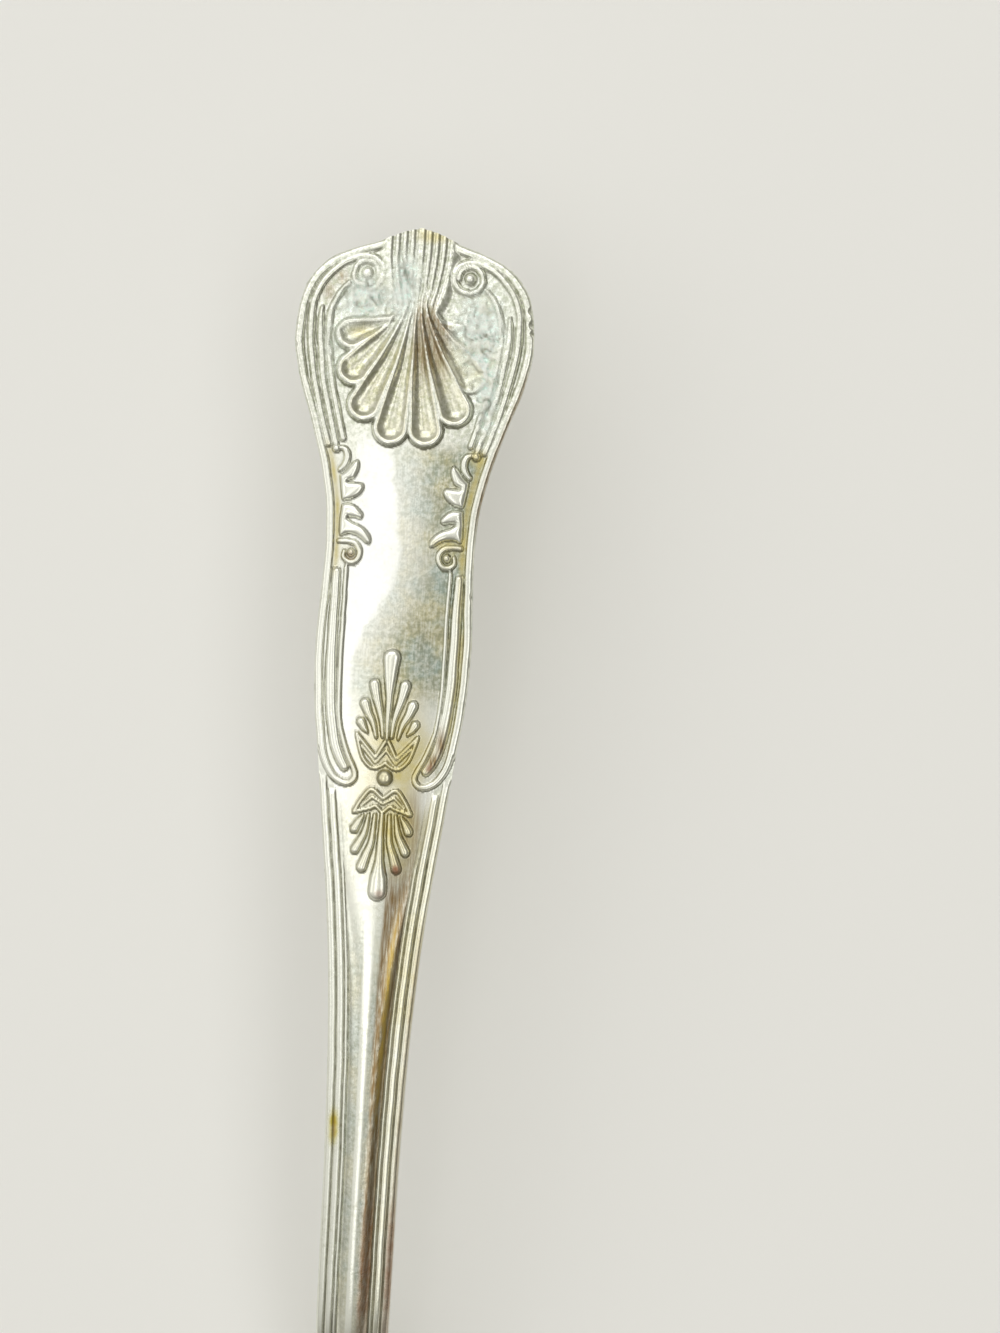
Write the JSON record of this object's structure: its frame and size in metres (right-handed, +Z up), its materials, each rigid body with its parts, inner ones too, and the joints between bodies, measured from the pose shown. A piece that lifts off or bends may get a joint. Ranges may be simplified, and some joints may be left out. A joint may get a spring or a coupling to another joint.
{
  "type": "cake server",
  "caption": "Flat cake server: a trowel-shaped bevelled blade riveted under the palm of an arched, die-struck handle with shell, scroll and palmette relief.",
  "frame": {"origin": "centre of the bounding box at the bottom, on the table plane that the blade's underside rests on", "axes": "+Y along the server towards the end of the handle, +Z up from the table, +X across the blade"},
  "size_m": [0.056, 0.2452, 0.0218],
  "materials": {
    "handle_plate": "silver plate on nickel silver, worn, tarnished in the recesses",
    "blade_plate": "silver plate on nickel silver, polished",
    "rivet_metal": "nickel silver, turned heads"
  },
  "bodies": {
    "root": {"handle": "handle_plate", "blade": "blade_plate", "rivet_left": "rivet_metal", "rivet_right": "rivet_metal", "rivet_front": "rivet_metal"}
  },
  "joints": []
}
